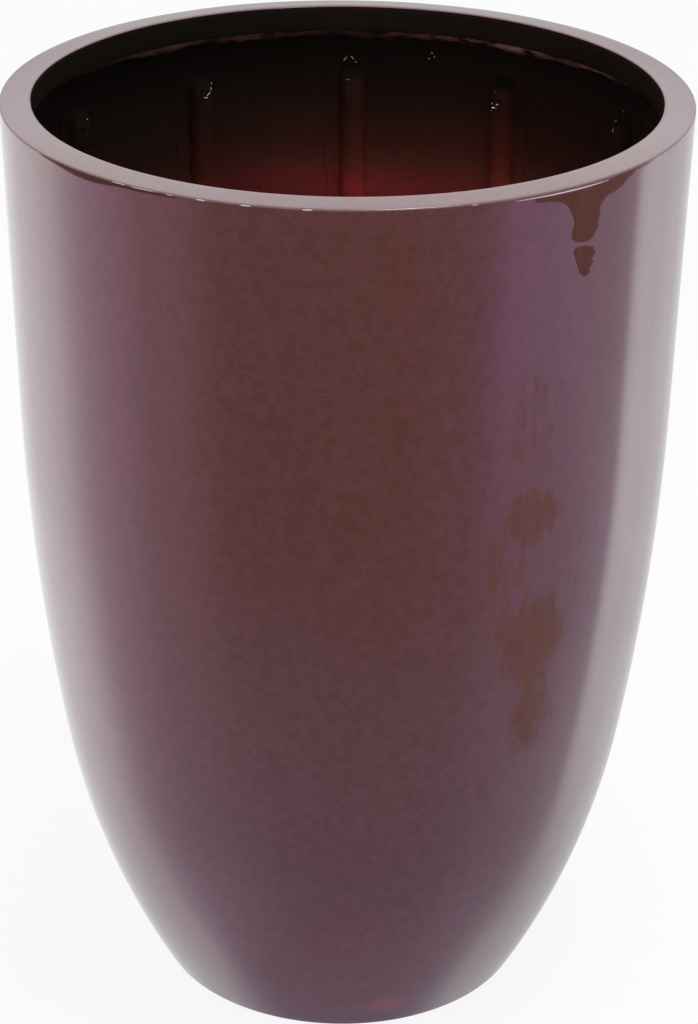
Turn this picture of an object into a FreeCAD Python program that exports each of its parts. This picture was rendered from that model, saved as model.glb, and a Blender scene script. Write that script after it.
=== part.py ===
import FreeCAD, Part
import collections
import math
import os
import re
import Sketcher

# Cachepot: a tall lacquered pot of hand-laid glass-fibre laminate, bonded from separate pieces.
# Millimetres and degrees. The origin is on the floor, under the pot's axis, with +Z up.

SIZES = {
    # Outer form of the pot
    "overall_height": 700,      # floor to the top of the rim
    "rim_diameter": 490,        # outside, at the rim's top edge
    "base_diameter": 283,       # outside, at the standing ring
    "taper_angle": 1.45,        # lean of the straight upper wall
    "flank_drop": 230,          # top of the rim to where the wall starts to bend in
    "flank_radius": 1880,       # the gentle bend below that
    "hip_height": 210,          # where the bend tightens towards the base
    "wall_thickness": 4,
    "base_edge_radius": 6,
    "standing_ring_width": 42,  # the ring turned in at the base
    # Rim cap, its hoop and the bead under it
    "rim_width": 23,
    "rim_fall": 1.75,           # the rim's top falls outwards by this
    "flange_thickness": 4,
    "skirt_depth": 20,
    "skirt_thickness": 4,
    "rim_edge_radius": 1.5,
    "mouth_edge_radius": 3,
    "bond_gap": 0.3,            # glue line round the hoop and behind the ribs
    "rim_cove_drop": 13,        # how far the bead runs down the wall
    "rim_cove_setback": 1.5,    # bare edge left at the foot of the skirt
    # Ribs: half-round battens on the inner wall, under glass tape
    "rib_count": 12,
    "rib_start_angle": 29,
    "rib_width": 18,
    "rib_flat": 4,              # flat left along the crest of the batten
    "rib_end_ease": 1,          # the ends are rounder than the long edges by this
    "tape_thickness": 1.5,
    "tape_flange": 14,          # tape on the wall beyond the batten
    "rib_head_gap": 15,         # bare wall between the tape and the bead under the rim
    "rib_foot_gap": 19,         # bare wall between the tape and the bead round the floor
    # Floor of the pot
    "disc_thickness": 6,
    "disc_inset": 12,           # from the edge of the base to the edge of the disc
    "base_cove_rise": 24,       # how far the bead climbs the wall
    "base_cove_lap": 18,        # how far it laps over the disc
    "base_cove_lift": 8,        # angle at which its hollow face leaves the disc
    # Rubber pads
    "pad_count": 6,
    "pad_diameter": 24,
    "pad_thickness": 3,
    "pad_draft": 1,             # the pad is narrower at the floor by this, on each side
    "pad_inset": 20,            # from the edge of the base to the pad's centre
}

START, END, CENTRE = range(1, 4)    # points of a sketch curve
ORIGIN = -1                         # a sketch's own origin, as a curve
NEAR = 0.001                        # millimetres within which two lengths are the same

# A curve of the wall's profile, with which of its points is the upper and which the lower
Stretch = collections.namedtuple("Stretch", "curve top foot")

doc = FreeCAD.newDocument("cachepot")
sheet = doc.addObject("Spreadsheet::Sheet", "Sizes")
for row, (alias, size) in enumerate(SIZES.items(), start=1):
    sheet.set(f"A{row}", alias)
    sheet.set(f"B{row}", str(size))
    sheet.setAlias(f"B{row}", alias)
doc.recompute()


def formula(text):
    """Spell a formula of size names as an expression on the sheet."""
    return re.sub(r"[a-z_]{3,}", lambda name: f"Sizes.{name[0]}" if name[0] in SIZES else name[0], text)


def value(text):
    """Work out a formula of size names as a plain number."""
    return float(sheet.evalExpression(formula(text)))


# Heights and radii that pieces share, as formulas
RIM_EDGE = "(overall_height - rim_fall)"
SEAT = f"({RIM_EDGE} - flange_thickness)"
SKIRT_FOOT = "(overall_height - skirt_depth)"
MOUTH = "(rim_diameter / 2 - rim_width)"
SKIRT_BACK = f"({MOUTH} + skirt_thickness)"
RING_TOP = "(pad_thickness + wall_thickness)"
DISC_TOP = f"({RING_TOP} + disc_thickness)"
DISC_EDGE = "(base_diameter / 2 - disc_inset)"
FLANK = "(overall_height - flank_drop)"
RIM_COVE_FOOT = f"({SKIRT_FOOT} - rim_cove_drop)"
BASE_COVE_HEAD = f"({DISC_TOP} + base_cove_rise)"
RIB_TOP = f"({RIM_COVE_FOOT} - rib_head_gap - tape_flange)"
RIB_FOOT = f"({BASE_COVE_HEAD} + rib_foot_gap + tape_flange)"
RIB_EDGE = "((rib_width - rib_flat) / 2)"
RIB_SEAT = "(wall_thickness + bond_gap)"


def outer_wall(height):
    """Radius of the straight upper wall's outer face at a height."""
    return f"(rim_diameter / 2 - ({RIM_EDGE} - {height}) * tan(taper_angle))"


def inner_wall(height):
    """Radius of the straight upper wall's inner face at a height."""
    return f"({outer_wall(height)} - wall_thickness / cos(taper_angle))"


def polar(radius, angle):
    """An offset in a profile, by a radius at an angle below the horizontal."""
    return FreeCAD.Vector(radius * math.cos(angle), -radius * math.sin(angle), 0)


def wall_bends():
    """Lean of the straight wall, then centre, radius and foot's lean of its two bends, as plain numbers.

    The hip's radius is below zero where the wall has to bend outwards again to reach the base.
    """
    lean = math.radians(value("taper_angle"))
    flank_radius = value("flank_radius")
    flank = FreeCAD.Vector(value(outer_wall(FLANK)), value(FLANK), 0)
    flank_centre = flank - polar(flank_radius, lean)
    hip_lean = math.asin((flank_centre.y - value("hip_height")) / flank_radius)
    hip = flank_centre + polar(flank_radius, hip_lean)
    chord = FreeCAD.Vector(value("base_diameter / 2"), value("pad_thickness"), 0) - hip
    half_turn = math.atan2(-chord.x, -chord.y) - hip_lean
    hip_radius = chord.Length / 2 / math.sin(half_turn)
    hip_centre = hip - polar(hip_radius, hip_lean)
    return lean, (flank_centre, flank_radius, hip_lean), (hip_centre, hip_radius, hip_lean + 2 * half_turn)


def add_body(label):
    body = doc.addObject("PartDesign::Body", label)
    body.Label = label
    return body


def add_sketch(body, name):
    """Make a sketch on the body's upright plane, with radius across and height up."""
    sketch = body.newObject("Sketcher::SketchObject", name)
    plane = next(feature for feature in body.Origin.OriginFeatures if feature.Role == "XZ_Plane")
    sketch.AttachmentSupport = [(plane, "")]
    sketch.MapMode = "FlatFace"
    return sketch


def limit(sketch, kind, places, text):
    """Add a constraint whose size follows a formula."""
    index = sketch.addConstraint(Sketcher.Constraint(kind, *places, value(text)))
    sketch.setExpression(f"Constraints[{index}]", formula(text))


def hold(sketch, curve, point, radius=None, height=None):
    """Tie a point of a curve to a radius, a height or both."""
    if radius is not None:
        limit(sketch, "DistanceX", (ORIGIN, 1, curve, point), radius)
    if height is not None:
        limit(sketch, "DistanceY", (ORIGIN, 1, curve, point), height)


def tie(sketch, kind, *places):
    sketch.addConstraint(Sketcher.Constraint(kind, *places))


def join(sketch, place, other):
    """Draw a straight side between two points of other curves, each a curve and which of its points."""
    side = sketch.addGeometry(Part.LineSegment(sketch.getPoint(*place), sketch.getPoint(*other)))
    tie(sketch, "Coincident", side, START, *place)
    tie(sketch, "Coincident", side, END, *other)
    return side


def top_of(wall):
    """Where a curve of the wall ends at its upper end."""
    return wall[0].curve, wall[0].top


def foot_of(wall):
    """Where a curve of the wall ends at its lower end."""
    return wall[-1].curve, wall[-1].foot


def add_outline(sketch, corners):
    """Draw a closed outline of straight sides through corners given as radius and height."""
    spots = [FreeCAD.Vector(value(radius), value(height), 0) for radius, height in corners]
    sides = [sketch.addGeometry(Part.LineSegment(*pair)) for pair in zip(spots, spots[1:] + spots[:1])]
    for before, side, (radius, height) in zip(sides[-1:] + sides[:-1], sides, corners):
        tie(sketch, "Coincident", before, END, side, START)
        hold(sketch, side, START, radius, height)


def add_bend(sketch, centre, radius, top_lean, foot_lean, construction=False):
    """Draw a bend of the wall between two leans, bulging where its radius is above zero, else hollow."""
    circle = Part.Circle(centre, FreeCAD.Vector(0, 0, 1), abs(radius))
    if radius > 0:
        arc = Part.ArcOfCircle(circle, -foot_lean, -top_lean)
        return Stretch(sketch.addGeometry(arc, construction), top=END, foot=START)
    arc = Part.ArcOfCircle(circle, math.pi - top_lean, math.pi - foot_lean)
    return Stretch(sketch.addGeometry(arc, construction), top=START, foot=END)


def add_straight(sketch, top, foot, construction=False):
    """Draw the straight upper stretch of the wall."""
    line = Part.LineSegment(top, foot)
    return Stretch(sketch.addGeometry(line, construction), top=START, foot=END)


def run_on(sketch, upper, lower):
    """Let one stretch of the wall run smoothly into the next."""
    tie(sketch, "Tangent", upper.curve, upper.foot, lower.curve, lower.top)


def add_wall_guide(sketch, construction=True):
    """Draw the wall's outer face: the straight taper, the flank's bend and the hip's bend."""
    lean, (flank_centre, flank_radius, hip_lean), (hip_centre, hip_radius, base_lean) = wall_bends()
    top = FreeCAD.Vector(value(outer_wall(SEAT)), value(SEAT), 0)
    line = add_straight(sketch, top, flank_centre + polar(flank_radius, lean), construction)
    flank = add_bend(sketch, flank_centre, flank_radius, lean, hip_lean, construction)
    hip = add_bend(sketch, hip_centre, hip_radius, hip_lean, base_lean, construction)
    run_on(sketch, line, flank)
    run_on(sketch, flank, hip)
    hold(sketch, line.curve, line.top, outer_wall(SEAT), SEAT)
    hold(sketch, line.curve, line.foot, outer_wall(FLANK), FLANK)
    limit(sketch, "Radius", (flank.curve,), "flank_radius")
    hold(sketch, flank.curve, flank.foot, height="hip_height")
    hold(sketch, hip.curve, hip.foot, "base_diameter / 2", "pad_thickness")
    return line, flank, hip


def add_wall_curve(sketch, guide, depth, top, foot, construction=False, held=True):
    """Draw the wall's curve at a depth behind its outer face, with its ends held at two heights or free."""
    lean, (flank_centre, flank_radius, hip_lean), (hip_centre, hip_radius, _) = wall_bends()
    inset = value(depth)
    knee = flank_centre + polar(flank_radius - inset, lean)
    rise = value(top) - knee.y
    head = knee + FreeCAD.Vector(rise * math.tan(lean), rise, 0)
    foot_lean = math.asin((hip_centre.y - value(foot)) / (hip_radius - inset))
    line = add_straight(sketch, head, knee, construction)
    flank = add_bend(sketch, flank_centre, flank_radius - inset, lean, hip_lean, construction)
    hip = add_bend(sketch, hip_centre, hip_radius - inset, hip_lean, foot_lean, construction)
    for stretch, guide_stretch in zip((flank, hip), guide[1:]):
        tie(sketch, "Coincident", stretch.curve, CENTRE, guide_stretch.curve, CENTRE)
    limit(sketch, "Radius", (flank.curve,), f"flank_radius - ({depth})")
    run_on(sketch, flank, hip)
    run_on(sketch, line, flank)
    tie(sketch, "Parallel", line.curve, guide[0].curve)
    if held:
        hold(sketch, line.curve, line.top, height=top)
        hold(sketch, hip.curve, hip.foot, height=foot)
    return line, flank, hip


def add_wall_slice(sketch, front, back, top, foot):
    """Close the outline between two depths of the wall, with ends square to it at two heights."""
    guide = add_wall_guide(sketch)
    back_curve = add_wall_curve(sketch, guide, back, top, foot)
    front_curve = add_wall_curve(sketch, guide, front, top, foot, held=False)
    head = join(sketch, top_of(back_curve), top_of(front_curve))
    tail = join(sketch, foot_of(back_curve), foot_of(front_curve))
    tie(sketch, "Perpendicular", head, guide[0].curve)
    tie(sketch, "PointOnObject", guide[-1].curve, CENTRE, tail)


def turn(body, sketch, kind="Revolution"):
    """Turn a sketch round the pot's axis, to add or to cut."""
    feature = body.newObject(f"PartDesign::{kind}", f"{sketch.Name}_{kind.lower()}")
    feature.Profile = sketch
    feature.ReferenceAxis = (sketch, ["V_Axis"])
    feature.Angle = 360
    doc.recompute()
    return feature


def round_edges(body, radius, chosen):
    """Round the edges of the body so far that the chosen test picks."""
    base = body.Tip
    names = [f"Edge{number}" for number, edge in enumerate(base.Shape.Edges, start=1) if chosen(edge)]
    if not names:
        raise RuntimeError(f"no edge to round on {body.Label}")
    fillet = body.newObject("PartDesign::Fillet", f"{body.Name}_rounding")
    fillet.Base = (base, names)
    fillet.setExpression("Radius", formula(radius))
    doc.recompute()


def is_circle_at(radius, height):
    """A test for the round edge at a radius and a height."""
    target = (value(radius), value(height))

    def test(edge):
        spot = edge.Vertexes[0].Point
        return math.dist((math.hypot(spot.x, spot.y), spot.z), target) < NEAR

    return test


def make_outer_shell():
    body = add_body("outer_shell")
    sketch = add_sketch(body, "shell_section")
    guide = add_wall_guide(sketch, construction=False)
    inner = add_wall_curve(sketch, guide, "wall_thickness", SEAT, RING_TOP)
    join(sketch, top_of(inner), top_of(guide))
    ring_edge = "base_diameter / 2 - standing_ring_width"
    heights = ("pad_thickness", RING_TOP)
    foot, head = (FreeCAD.Vector(value(ring_edge), value(height), 0) for height in heights)
    edge = sketch.addGeometry(Part.LineSegment(foot, head))
    hold(sketch, edge, START, ring_edge, "pad_thickness")
    hold(sketch, edge, END, ring_edge, RING_TOP)
    join(sketch, foot_of(guide), (edge, START))
    join(sketch, (edge, END), foot_of(inner))
    turn(body, sketch)
    round_edges(body, "base_edge_radius", is_circle_at("base_diameter / 2", "pad_thickness"))
    return body


def make_rim_cap():
    body = add_body("rim_cap")
    sketch = add_sketch(body, "cap_section")
    add_outline(sketch, [
        (outer_wall(RIM_EDGE), RIM_EDGE),
        (MOUTH, "overall_height"),
        (MOUTH, SKIRT_FOOT),
        (SKIRT_BACK, SKIRT_FOOT),
        (SKIRT_BACK, SEAT),
        (outer_wall(SEAT), SEAT),
    ])
    turn(body, sketch)
    round_edges(body, "rim_edge_radius", is_circle_at("rim_diameter / 2", RIM_EDGE))
    round_edges(body, "mouth_edge_radius", is_circle_at(MOUTH, "overall_height"))
    return body


def make_rim_hoop():
    body = add_body("rim_hoop")
    sketch = add_sketch(body, "hoop_section")
    add_outline(sketch, [
        (f"{SKIRT_BACK} + bond_gap", SEAT),
        (f"{inner_wall(SEAT)} - bond_gap", SEAT),
        (f"{inner_wall(SKIRT_FOOT)} - bond_gap", SKIRT_FOOT),
        (f"{SKIRT_BACK} + bond_gap", SKIRT_FOOT),
    ])
    turn(body, sketch)
    return body


def make_rim_cove():
    body = add_body("rim_cove")
    sketch = add_sketch(body, "rim_cove_section")
    add_outline(sketch, [
        (f"{MOUTH} + rim_cove_setback", SKIRT_FOOT),
        (inner_wall(SKIRT_FOOT), SKIRT_FOOT),
        (inner_wall(RIM_COVE_FOOT), RIM_COVE_FOOT),
    ])
    turn(body, sketch)
    return body


def make_base_disc():
    disc = doc.addObject("Part::Cylinder", "base_disc")
    disc.setExpression("Radius", formula(DISC_EDGE))
    disc.setExpression("Height", formula("disc_thickness"))
    disc.setExpression("Placement.Base.z", formula(RING_TOP))
    return disc


def make_base_cove():
    """The bead fills the gap round the disc, laps over its top and climbs the wall."""
    body = add_body("base_cove")
    sketch = add_sketch(body, "base_cove_section")
    guide = add_wall_guide(sketch)
    wall = add_wall_curve(sketch, guide, "wall_thickness", SEAT, RING_TOP, construction=True)
    _, _, (centre, radius, _) = wall_bends()
    reach = radius - value("wall_thickness")
    ends = (RING_TOP, BASE_COVE_HEAD)
    foot_lean, top_lean = (math.asin((centre.y - value(height)) / reach) for height in ends)
    climb = add_bend(sketch, centre, reach, top_lean, foot_lean)
    tie(sketch, "Coincident", climb.curve, CENTRE, guide[-1].curve, CENTRE)
    tie(sketch, "Coincident", climb.curve, climb.foot, *foot_of(wall))
    hold(sketch, climb.curve, climb.top, height=BASE_COVE_HEAD)
    lap_edge = f"{DISC_EDGE} - base_cove_lap"
    corners = [(DISC_EDGE, RING_TOP), (DISC_EDGE, DISC_TOP), (lap_edge, DISC_TOP)]
    spots = [FreeCAD.Vector(value(x), value(z), 0) for x, z in corners]
    edge, lap = (sketch.addGeometry(Part.LineSegment(*pair)) for pair in zip(spots, spots[1:]))
    tie(sketch, "Coincident", edge, END, lap, START)
    hold(sketch, edge, START, *corners[0])
    hold(sketch, lap, START, *corners[1])
    hold(sketch, lap, END, *corners[2])
    join(sketch, (climb.curve, climb.foot), (edge, START))
    top = sketch.getPoint(climb.curve, climb.top)
    chord = top - spots[2]
    lift = math.radians(value("base_cove_lift"))
    half_turn = math.atan2(chord.y, chord.x) - lift
    across = FreeCAD.Vector(chord.y, -chord.x, 0) / 2 * math.tan(half_turn / 2)
    face = sketch.addGeometry(Part.Arc(spots[2], (spots[2] + top) / 2 + across, top))
    tie(sketch, "Coincident", face, START, lap, END)
    tie(sketch, "Coincident", face, END, climb.curve, climb.top)
    ray_end = spots[2] + FreeCAD.Vector(math.cos(lift), math.sin(lift), 0) * value("base_cove_lap")
    ray = sketch.addGeometry(Part.LineSegment(spots[2], ray_end), True)
    tie(sketch, "Tangent", ray, START, face, START)
    hold(sketch, ray, END, f"{lap_edge} + base_cove_lap * cos(base_cove_lift)",
         f"{DISC_TOP} + base_cove_lap * sin(base_cove_lift)")
    turn(body, sketch)
    return body


def add_rib_hump(body, width, height, edge_radius, top, foot):
    """Raise a bar with rounded ends and long edges, with its back inside the wall."""
    sketch = add_sketch(body, f"{body.Name}_side")
    add_wall_slice(sketch, f"{RIB_SEAT} + {height}", "wall_thickness / 2", top, foot)
    bar = body.newObject("PartDesign::Pad", f"{body.Name}_bar")
    bar.Profile = sketch
    bar.SideType = "Symmetric"
    bar.setExpression("Length", formula(width))
    doc.recompute()
    across = value(width)

    def crest_edge(shape, level):
        """The crosswise edge at a height that is nearest to the axis."""
        ends = [edge for edge in shape.Edges
                if abs(edge.Length - across) < NEAR and abs(edge.CenterOfMass.z - value(level)) < NEAR]
        return min(ends, key=lambda edge: edge.CenterOfMass.x)

    ends = [crest_edge(bar.Shape, level) for level in (top, foot)]
    round_edges(body, f"{edge_radius} + rib_end_ease", lambda edge: any(edge.isSame(end) for end in ends))

    def crest_lines(shape):
        """The two long straight edges of the crest."""
        lines = [edge for edge in shape.Edges
                 if edge.Curve.TypeId == "Part::GeomLine" and abs(edge.CenterOfMass.y) > across / 2 - NEAR]
        lines.sort(key=lambda edge: -edge.Length)
        return sorted(lines[:4], key=lambda edge: edge.CenterOfMass.x)[:2]

    lines = crest_lines(body.Tip.Shape)
    round_edges(body, edge_radius, lambda edge: any(edge.isSame(line) for line in lines))


def fit_to_wall(body, sketch_name):
    """Cut away what lies behind the glue line on the wall's inner face."""
    sketch = add_sketch(body, sketch_name)
    guide = add_wall_guide(sketch)
    wall = add_wall_curve(sketch, guide, RIB_SEAT, SEAT, RING_TOP)
    foot, head = (FreeCAD.Vector(value("rim_diameter"), value(height), 0) for height in (RING_TOP, SEAT))
    far = sketch.addGeometry(Part.LineSegment(foot, head))
    hold(sketch, far, START, "rim_diameter", RING_TOP)
    hold(sketch, far, END, "rim_diameter", SEAT)
    join(sketch, foot_of(wall), (far, START))
    join(sketch, (far, END), top_of(wall))
    before = body.Tip.Shape.Volume
    turn(body, sketch, "Groove")
    if not body.Tip.Shape.Volume < before:
        raise RuntimeError(f"{body.Label} was not cut to the wall")


def make_rib_core():
    body = add_body("rib_core")
    add_rib_hump(body, "rib_width", "rib_width / 2", RIB_EDGE, RIB_TOP, RIB_FOOT)
    fit_to_wall(body, "core_fit")
    return body


def make_rib_tape(core):
    """Tape of even thickness over the batten, with flanges that lie on the wall."""
    body = add_body("rib_tape_blank")
    add_rib_hump(
        body, "rib_width + 2 * tape_thickness", "rib_width / 2 + tape_thickness",
        f"{RIB_EDGE} + tape_thickness", f"{RIB_TOP} + tape_thickness", f"{RIB_FOOT} - tape_thickness",
    )
    sketch = add_sketch(body, "tape_flange_section")
    add_wall_slice(
        sketch, f"{RIB_SEAT} + tape_thickness", "wall_thickness / 2",
        f"{RIB_TOP} + tape_flange", f"{RIB_FOOT} - tape_flange",
    )
    flange = turn(body, sketch)
    flange.Midplane = True
    spread = f"2 * atan((rib_width / 2 + tape_thickness + tape_flange) / {inner_wall(RIB_TOP)})"
    flange.setExpression("Angle", formula(spread))
    doc.recompute()
    fit_to_wall(body, "tape_fit")
    tape = doc.addObject("Part::Cut", "rib_tape")
    tape.Base = body
    tape.Tool = core
    doc.recompute()
    return tape


def repeat_round(piece, count, start):
    """Set copies of a rib piece round the wall, each a sub-part of its own."""
    copies = []
    for number in range(int(value(count))):
        copy = doc.addObject("App::Link", f"{piece.Name}_{number + 1:02d}")
        copy.LinkedObject = piece
        copy.LinkTransform = False
        copy.Placement = FreeCAD.Placement(FreeCAD.Vector(), FreeCAD.Rotation(FreeCAD.Vector(0, 0, 1), 1))
        copy.setExpression("Placement.Rotation.Angle", formula(f"{start} + {number} * 360 / {count}"))
        copies.append(copy)
    return copies


def make_foot_pads():
    pads = []
    for number in range(int(value("pad_count"))):
        pad = doc.addObject("Part::Cone", f"pad_{number + 1}")
        angle = f"({number} * 360 / pad_count)"
        pad.setExpression("Radius1", formula("pad_diameter / 2 - pad_draft"))
        pad.setExpression("Radius2", formula("pad_diameter / 2"))
        pad.setExpression("Height", formula("pad_thickness"))
        pad.setExpression("Placement.Base.x", formula(f"(base_diameter / 2 - pad_inset) * cos{angle}"))
        pad.setExpression("Placement.Base.y", formula(f"(base_diameter / 2 - pad_inset) * sin{angle}"))
        pads.append(pad)
    group = doc.addObject("Part::Compound", "foot_pads")
    group.Links = pads
    return group


core = make_rib_core()
subparts = [
    make_outer_shell(), make_rim_cap(), make_rim_hoop(), make_rim_cove(),
    make_base_disc(), make_base_cove(), make_foot_pads(),
    *repeat_round(core, "rib_count", "rib_start_angle"),
    *repeat_round(make_rib_tape(core), "rib_count", "rib_start_angle"),
]
doc.recompute()

failed = [item.Name for item in doc.Objects if {"Invalid", "Error"} & set(item.State)]
shapes = {item.Label: Part.getShape(item) for item in subparts}
failed += [label for label, shape in shapes.items() if shape.isNull() or not shape.isValid()]
if failed:
    raise RuntimeError("failed: " + ", ".join(failed))

os.makedirs("parts", exist_ok=True)
for label, shape in shapes.items():
    shape.exportStep(os.path.join("parts", f"{label}.step"))
    box = shape.optimalBoundingBox()
    print(f"{label}: {len(shape.Solids)} solid, {shape.Volume / 1000:.1f} cm3, "
          f"z {box.ZMin:.2f} to {box.ZMax:.2f}")
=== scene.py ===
import math
import random

import bpy
import numpy as np
from mathutils import Matrix, Vector, geometry, noise


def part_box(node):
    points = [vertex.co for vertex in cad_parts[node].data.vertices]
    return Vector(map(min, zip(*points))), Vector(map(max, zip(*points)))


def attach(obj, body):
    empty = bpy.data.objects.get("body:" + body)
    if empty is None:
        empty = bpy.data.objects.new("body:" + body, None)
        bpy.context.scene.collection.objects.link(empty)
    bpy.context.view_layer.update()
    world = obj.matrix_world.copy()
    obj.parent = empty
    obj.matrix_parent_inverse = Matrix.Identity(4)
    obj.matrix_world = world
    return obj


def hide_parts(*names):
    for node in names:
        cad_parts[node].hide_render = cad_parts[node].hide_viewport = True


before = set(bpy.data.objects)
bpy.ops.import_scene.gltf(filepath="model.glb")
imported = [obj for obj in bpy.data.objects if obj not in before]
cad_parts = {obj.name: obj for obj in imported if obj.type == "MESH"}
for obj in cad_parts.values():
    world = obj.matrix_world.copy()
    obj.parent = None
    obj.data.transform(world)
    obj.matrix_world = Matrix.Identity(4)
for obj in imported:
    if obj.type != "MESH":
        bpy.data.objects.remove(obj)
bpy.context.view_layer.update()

# Cachepot: a lacquered pot of hand-laid laminate. Metres and radians, on the floor, with +Z up.

MM = 0.001

# Heights, and the floor disc's edge, that the solids give
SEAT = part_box("outer_shell")[1].z
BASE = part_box("outer_shell")[0].z
SKIRT_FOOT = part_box("rim_cap")[0].z
RIM_BEAD_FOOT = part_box("rim_cove")[0].z
DISC_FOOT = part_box("base_disc")[0].z
DISC_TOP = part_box("base_disc")[1].z
DISC_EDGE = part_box("base_disc")[1].x
FLOOR_BEAD_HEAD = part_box("base_cove")[1].z
TAPE_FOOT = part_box("rib_tape_01")[0].z
TAPE_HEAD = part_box("rib_tape_01")[1].z
CORE_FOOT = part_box("rib_core_01")[0].z
CORE_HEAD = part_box("rib_core_01")[1].z

# Outer form
OVERALL_HEIGHT = 700 * MM
RIM_RADIUS = 245 * MM
BASE_RADIUS = 141.5 * MM
TAPER = math.radians(1.45)
FLANK_HEIGHT = 470 * MM
FLANK_RADIUS = 1880 * MM
HIP_HEIGHT = 210 * MM
WALL = 4 * MM
BASE_EDGE_ROUND = 6 * MM
RING_WIDTH = 42 * MM
RING_EDGE_ROUND = 0.6 * MM

# Rim
RIM_WIDTH = 23 * MM
RIM_FALL = 1.75 * MM
RIM_EDGE_ROUND = 1.5 * MM
MOUTH_EDGE_ROUND = 3 * MM
SKIRT_EDGE_ROUND = 0.8 * MM
SKIRT = 4 * MM
RIM_EDGE = OVERALL_HEIGHT - RIM_FALL
MOUTH = RIM_RADIUS - RIM_WIDTH
BEAD_SETBACK = 1.5 * MM
RIM_SHY = 0.05 * MM       # keeps the uneven rim inside the true one
BEAD_TUCK = 0.3 * MM      # how far a bead's back lies in the wall
BEAD_FEATHER = 0.2 * MM   # how far its thin edge stands off the wall

# Ribs and the floor's bead
RIB_COUNT = 12
RIB_START = math.radians(29)
RIB_HALF = 10.5 * MM
TAPE_HALF = 24.5 * MM
TAPE_MEAN = 0.84          # mean share of that half width, and how much it wanders
TAPE_WANDER = 0.14
TAPE_BURY = 1.2 * MM      # how far the tape's back lies in the wall
RIB_END_RUN = 16 * MM     # length of the fall at a rib's end
RIB_END_EASE = 7 * MM     # of which this lies on the batten
BEAD_LAP = 18 * MM

# Pads
PAD_COUNT = 6
PAD_RADIUS = 12 * MM
PAD_DRAFT = 1 * MM
PAD_INSET = 20 * MM
PAD_FOOT_ROUND = 1 * MM
PAD_HEAD_ROUND = 0.4 * MM

ROUND_STEPS = 384         # facets round the pot
TURN = 2 * math.pi


# The wall's profile: a straight taper, a gentle bend below it and a tighter one down to the base

def wall_bends():
    """Centre and radius of the two bends, as radius and height, and the lean where they meet."""
    knee = np.array([RIM_RADIUS - (RIM_EDGE - FLANK_HEIGHT) * math.tan(TAPER), FLANK_HEIGHT])
    flank_centre = knee - FLANK_RADIUS * np.array([math.cos(TAPER), -math.sin(TAPER)])
    hip_lean = math.asin((flank_centre[1] - HIP_HEIGHT) / FLANK_RADIUS)
    hip = flank_centre + FLANK_RADIUS * np.array([math.cos(hip_lean), -math.sin(hip_lean)])
    chord = np.array([BASE_RADIUS, BASE]) - hip
    half_turn = math.atan2(-chord[0], -chord[1]) - hip_lean
    hip_radius = math.hypot(*chord) / 2 / math.sin(half_turn)
    hip_centre = hip - hip_radius * np.array([math.cos(hip_lean), -math.sin(hip_lean)])
    return flank_centre, hip_centre, hip_radius, hip_lean


FLANK_CENTRE, HIP_CENTRE, HIP_RADIUS, HIP_LEAN = wall_bends()


def wall_at(height, depth=0.0):
    """Radius and lean of the wall at a height, at a depth behind its outer face."""
    reach = FLANK_RADIUS - depth
    if height > FLANK_CENTRE[1] - reach * math.sin(TAPER):
        radius = RIM_RADIUS - (RIM_EDGE - height) * math.tan(TAPER) - depth / math.cos(TAPER)
        return radius, TAPER
    centre = FLANK_CENTRE
    if height < FLANK_CENTRE[1] - reach * math.sin(HIP_LEAN):
        centre, reach = HIP_CENTRE, HIP_RADIUS - depth
    lean = math.asin((centre[1] - height) / reach)
    return centre[0] + reach * math.cos(lean), lean


def on_wall(bearing, height, lift, depth=WALL):
    """A point at a lift from the wall's face at a depth, square to the wall and towards the axis."""
    radius, lean = wall_at(height, depth)
    radius -= lift * math.cos(lean)
    return radius * math.cos(bearing), radius * math.sin(bearing), height + lift * math.sin(lean)


# Small helpers for hand-made unevenness

def ripple(place, size, seed=0.0):
    """Smooth noise from -1 to 1 whose lumps are about as large as size."""
    return noise.noise(Vector(place) / size + Vector((seed, 1.7 * seed, -seed)))


def ease(low, high, x):
    """Smooth step from 0 at low to 1 at high."""
    t = min(max((x - low) / (high - low), 0.0), 1.0)
    return t * t * (3 - 2 * t)


def soften_max(a, b, blend):
    """The larger of two lengths, with a smooth change from one to the other."""
    near = max(blend - abs(a - b), 0.0) / blend
    return max(a, b) + near * near * blend / 4


# Mesh builders

def round_corner(before, corner, after, radius, steps=5):
    """Points of the arc that rounds a corner of a section."""
    before, corner, after = (np.array(p, float) for p in (before, corner, after))
    u = (before - corner) / np.linalg.norm(before - corner)
    v = (after - corner) / np.linalg.norm(after - corner)
    half = math.acos(np.clip(u @ v, -1, 1)) / 2
    axis = (u + v) / np.linalg.norm(u + v)
    centre = corner + axis * radius / math.sin(half)
    start = corner + u * radius / math.tan(half) - centre
    end = corner + v * radius / math.tan(half) - centre
    sweep = math.pi - 2 * half
    side = 1 if start[0] * end[1] - start[1] * end[0] > 0 else -1
    points = []
    for k in range(steps + 1):
        a = side * sweep * k / steps
        c, s = math.cos(a), math.sin(a)
        points.append(tuple(centre + np.array([c * start[0] - s * start[1], s * start[0] + c * start[1]])))
    return points


def make_piece(name, verts, faces, materials, face_materials=None, sharp=40):
    """Make a smooth-shaded mesh object with sharp edges above an angle in degrees."""
    mesh = bpy.data.meshes.new(name)
    mesh.from_pydata([tuple(v) for v in verts], [], faces)
    mesh.validate()
    for material in materials:
        mesh.materials.append(material)
    if face_materials is not None:
        mesh.polygons.foreach_set("material_index", face_materials)
    mesh.shade_smooth()
    mesh.set_sharp_from_angle(angle=math.radians(sharp))
    piece = bpy.data.objects.new(name, mesh)
    bpy.context.scene.collection.objects.link(piece)
    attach(piece, "root")
    return piece


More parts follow.
